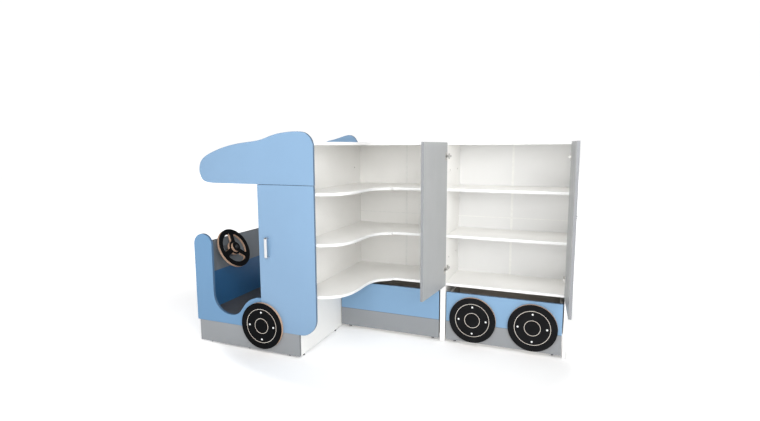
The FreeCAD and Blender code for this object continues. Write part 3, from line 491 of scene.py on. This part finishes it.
def carcass_screws(bm):
    for x, y, nx, zs in ((816.3, 41, 1, (530, 1305)), (1582.2, 41, -1, (530, 1305)), (99.3, -572.5, 1, (520, 1000))):
        for z in zs:
            for dz in (-12.6, 12.6):
                pan_screw(bm, W(x, y, z + dz), (nx, 0, 0), 0.0032, 0.0016, 0.7 + 0.05 * dz)
    for x, y, nx, zs in ((826.5, 30, 1, (530, 1305)), (1572.0, 30, -1, (530, 1305)), (109.5, -579, 1, (520, 1000))):
        for z in zs:
            for dy in (-9, 12):
                pan_screw(bm, W(x, y + dy, z), (nx, 0, 0), 0.0030, 0.0010, 0.4 + 0.1 * dy)


hardware("hinge_plate_screws", "carcass", carcass_screws)
hardware("column_bolt_cap", "carcass",
         lambda bm: socket_cap(bm, W(-812, -303, 582) + Vector((math.sin(math.radians(62)), 0, math.cos(math.radians(62)))) * 0.1121,
                               (math.sin(math.radians(62)), 0, math.cos(math.radians(62)))), blackened)

def castor_nuts(xs):
    def build(bm):
        for x in xs:
            for y in (50, 320):
                flat_nut(bm, W(x + 11.5, y, 20), (1, 0, 0))
                flat_nut(bm, W(x - 11.5, y, 20), (-1, 0, 0))
    return build


hardware("left_castor_nuts", "left_box", castor_nuts((60, 713)))
hardware("right_castor_nuts", "right_box", castor_nuts((875, 1526)))


# ------------------------------------------------------------------ stage, light, camera
def stage_piece(name, build, mat):
    me = bpy.data.meshes.new(name + "_mesh")
    bm = bmesh.new()
    build(bm)
    bm.to_mesh(me)
    bm.free()
    o = bpy.data.objects.new(name, me)
    bpy.context.scene.collection.objects.link(o)
    me.materials.append(mat)
    return o


fm = Mat("studio_floor")
fm.b.inputs["Base Color"].default_value = (0.93, 0.93, 0.93, 1)
fm.b.inputs["Roughness"].default_value = 0.7
fm.b.inputs["Specular IOR Level"].default_value = 0.1
fm.b.inputs["Emission Color"].default_value = (1.0, 1.0, 1.0, 1)
# painted light: the floor glows, lightening its shadows; the glow is weak near the object, leaving a soft shadow
# round its base, and rises away from it so the floor meets the wall without a line
away = fm.n("ShaderNodeVectorMath", operation="LENGTH")
fm.link(fm.obj(scale=(1 / 1.30, 1 / 0.85, 1)), away.inputs[0])
near = fm.ramp(away.outputs["Value"], 0.92, 1.10, 0.20, 0.56)
far = fm.ramp(away.outputs["Value"], 1.4, 2.8, 0.0, 0.42)
fm.link(fm.math("ADD", near, far), fm.b.inputs["Emission Strength"])
floor = stage_piece("studio_floor", lambda bm: bmesh.ops.create_grid(bm, x_segments=8, y_segments=8, size=30.0), fm.m)
floor.location = (0, 0, -0.0002)


def wall(bm):
    lo = [bm.verts.new((24 * math.cos(2 * math.pi * i / 96), 24 * math.sin(2 * math.pi * i / 96), -0.1)) for i in range(96)]
    hi = [bm.verts.new((v.co.x, v.co.y, 10.5)) for v in lo]
    for i in range(96):
        j = (i + 1) % 96
        bm.faces.new((lo[j], lo[i], hi[i], hi[j]))


wm = Mat("studio_wall")
wm.b.inputs["Base Color"].default_value = (0.0, 0.0, 0.0, 1)
wm.b.inputs["Specular IOR Level"].default_value = 0.0
wm.b.inputs["Emission Color"].default_value = (1.0, 1.0, 1.0, 1)
wm.b.inputs["Emission Strength"].default_value = 1.02
backdrop = stage_piece("studio_wall", wall, wm.m)

world = bpy.data.worlds.new("studio")
bpy.context.scene.world = world
world.use_nodes = True
bg = world.node_tree.nodes["Background"]
bg.inputs["Color"].default_value = (1.0, 1.0, 1.0, 1)
bg.inputs["Strength"].default_value = WORLD


def area(name, loc, target, size, energy, size_y=None):
    li = bpy.data.lights.new(name, "AREA")
    li.shape = "RECTANGLE"
    li.size = size
    li.size_y = size_y or size
    li.energy = energy
    o = bpy.data.objects.new(name, li)
    bpy.context.scene.collection.objects.link(o)
    o.location = loc
    o.rotation_euler = (Vector(target) - Vector(loc)).to_track_quat("-Z", "Y").to_euler()
    return o


area("top", (0.3, -0.8, 4.6), (0.2, -0.2, 0.0), 5.0, 8, 4.0)
area("high", (0.2, -2.6, 4.2), (0.3, 0.1, 0.6), 3.6, 76, 2.0)
area("front", (1.9, -3.7, 2.5), (0.3, 0.0, 0.8), 3.2, 89, 2.2)
area("side", (3.3, -2.6, 2.6), (0.4, 0.1, 0.8), 2.6, 36, 2.0)

bpy.context.scene.view_settings.view_transform = "Standard"
bpy.context.scene.view_settings.look = "None"

cam_d = bpy.data.cameras.new("camera")
cam = bpy.data.objects.new("camera", cam_d)
bpy.context.scene.collection.objects.link(cam)
cam_d.sensor_fit = "HORIZONTAL"
cam_d.sensor_width = 36.0
cam_d.lens = 36.0 * 481.07 / 760.0
cam_d.clip_start = 0.05
cam_d.clip_end = 100
yaw, pitch, roll = (math.radians(a) for a in (21.85, 7.51, -0.21))
F = Vector((-math.sin(yaw) * math.cos(pitch), math.cos(yaw) * math.cos(pitch), -math.sin(pitch)))
R = Vector((math.cos(yaw), math.sin(yaw), 0.0))
U = R.cross(F)
R2 = R * math.cos(roll) + U * math.sin(roll)
U2 = U * math.cos(roll) - R * math.sin(roll)
m3 = Matrix((R2, U2, -F)).transposed()
cam.matrix_world = Matrix.Translation(W(1600.73, -3184.59, 1367.99)) @ m3.to_4x4()
bpy.context.scene.camera = cam
